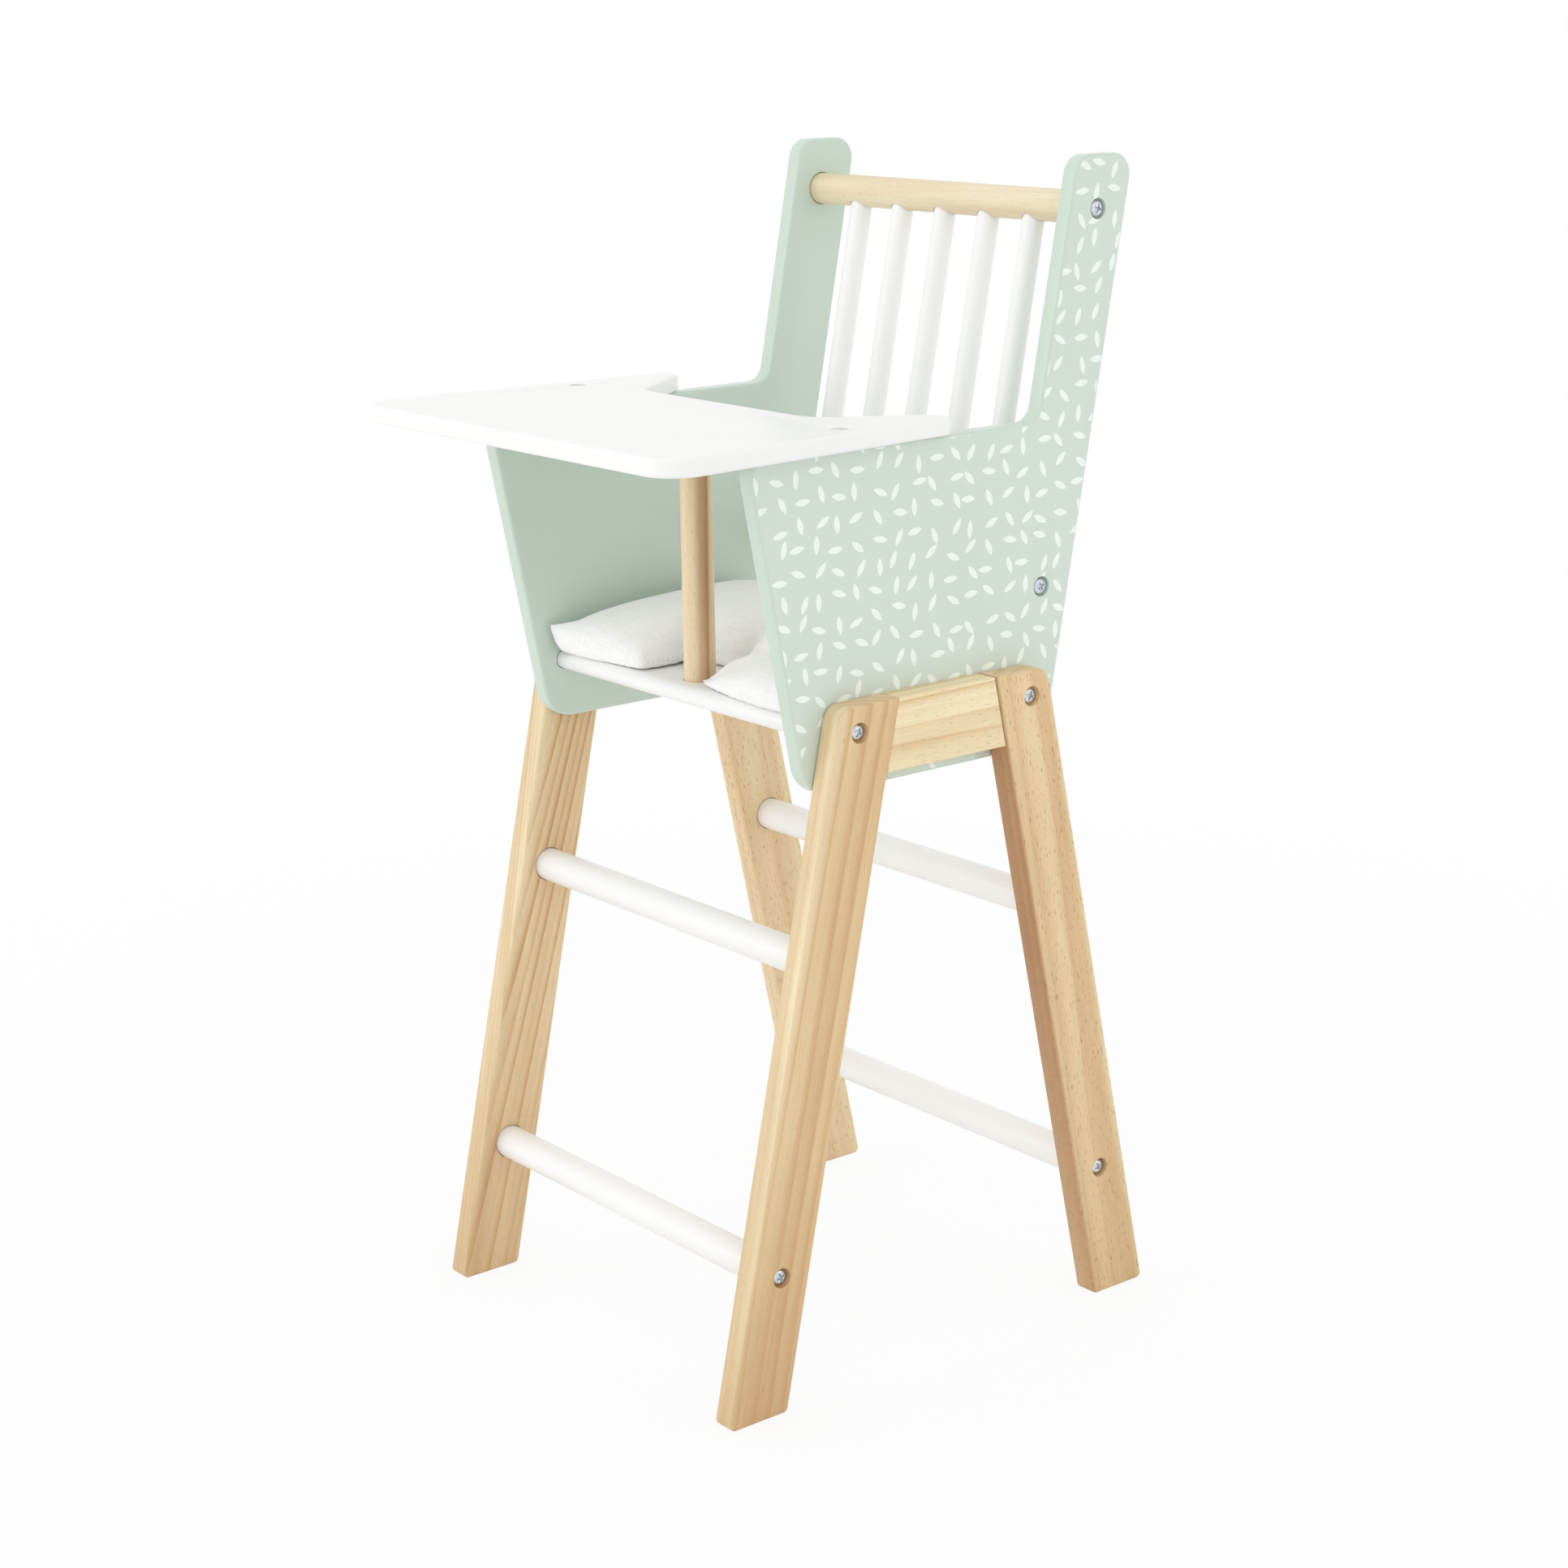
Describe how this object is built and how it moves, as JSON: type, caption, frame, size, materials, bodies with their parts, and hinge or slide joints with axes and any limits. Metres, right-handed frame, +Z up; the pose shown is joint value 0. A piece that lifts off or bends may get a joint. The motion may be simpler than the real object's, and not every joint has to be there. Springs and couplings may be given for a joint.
{
  "type": "doll high chair",
  "caption": "Wooden toy high chair for dolls: splayed stand with rungs, two side panels, slatted back, fixed tray on a post and a loose cushion.",
  "frame": {"origin": "centre of the bounding box on the floor plane, so the feet stand at z = 0", "axes": "+Z up, the chair faces -Y, +X is the side on the right of someone who stands in front of it"},
  "size_m": [0.2378, 0.2856, 0.55],
  "materials": {
    "mint_paint": "satin mint green paint on board, with small white leaves printed on the outer faces",
    "pine": "clear satin lacquer on solid pine",
    "dowel_wood": "clear satin lacquer on hardwood dowel",
    "white_lacquer": "satin white paint on wood",
    "zinc": "bright zinc plate",
    "cotton": "plain woven white cotton over soft wadding"
  },
  "bodies": {
    "chair": {"side_panel_left": "mint_paint", "stand_rail_left": "pine", "front_leg_left": "pine", "rear_leg_left": "pine", "side_panel_right": "mint_paint", "stand_rail_right": "pine", "front_leg_right": "pine", "rear_leg_right": "pine", "front_rung_upper": "white_lacquer", "front_rung_lower": "white_lacquer", "rear_rung_upper": "white_lacquer", "rear_rung_lower": "white_lacquer", "seat_board": "white_lacquer", "back_rail_top": "dowel_wood", "back_rail_lower": "dowel_wood", "back_spindle_1": "white_lacquer", "back_spindle_2": "white_lacquer", "back_spindle_3": "white_lacquer", "back_spindle_4": "white_lacquer", "back_spindle_5": "white_lacquer", "tray": "white_lacquer", "tray_post": "dowel_wood", "seat_screw_front_left": "zinc", "rung_screw_front_left": "zinc", "seat_screw_rear_left": "zinc", "rung_screw_rear_left": "zinc", "back_rail_screw_top_left": "zinc", "back_rail_screw_lower_left": "zinc", "tray_screw_left": "zinc", "stand_pin_front_left_1": "dowel_wood", "stand_pin_front_left_2": "dowel_wood", "stand_pin_rear_left_1": "dowel_wood", "stand_pin_rear_left_2": "dowel_wood", "seat_screw_front_right": "zinc", "rung_screw_front_right": "zinc", "seat_screw_rear_right": "zinc", "rung_screw_rear_right": "zinc", "back_rail_screw_top_right": "zinc", "back_rail_screw_lower_right": "zinc", "tray_screw_right": "zinc", "stand_pin_front_right_1": "dowel_wood", "stand_pin_front_right_2": "dowel_wood", "stand_pin_rear_right_1": "dowel_wood", "stand_pin_rear_right_2": "dowel_wood"},
    "cushion": {"seat_cushion": "cotton"}
  },
  "joints": [
    {"name": "cushion_lift", "type": "slide", "parent": "chair", "child": "cushion", "axis": [0, 0, 1], "range_m": [0, 0.09]}
  ]
}
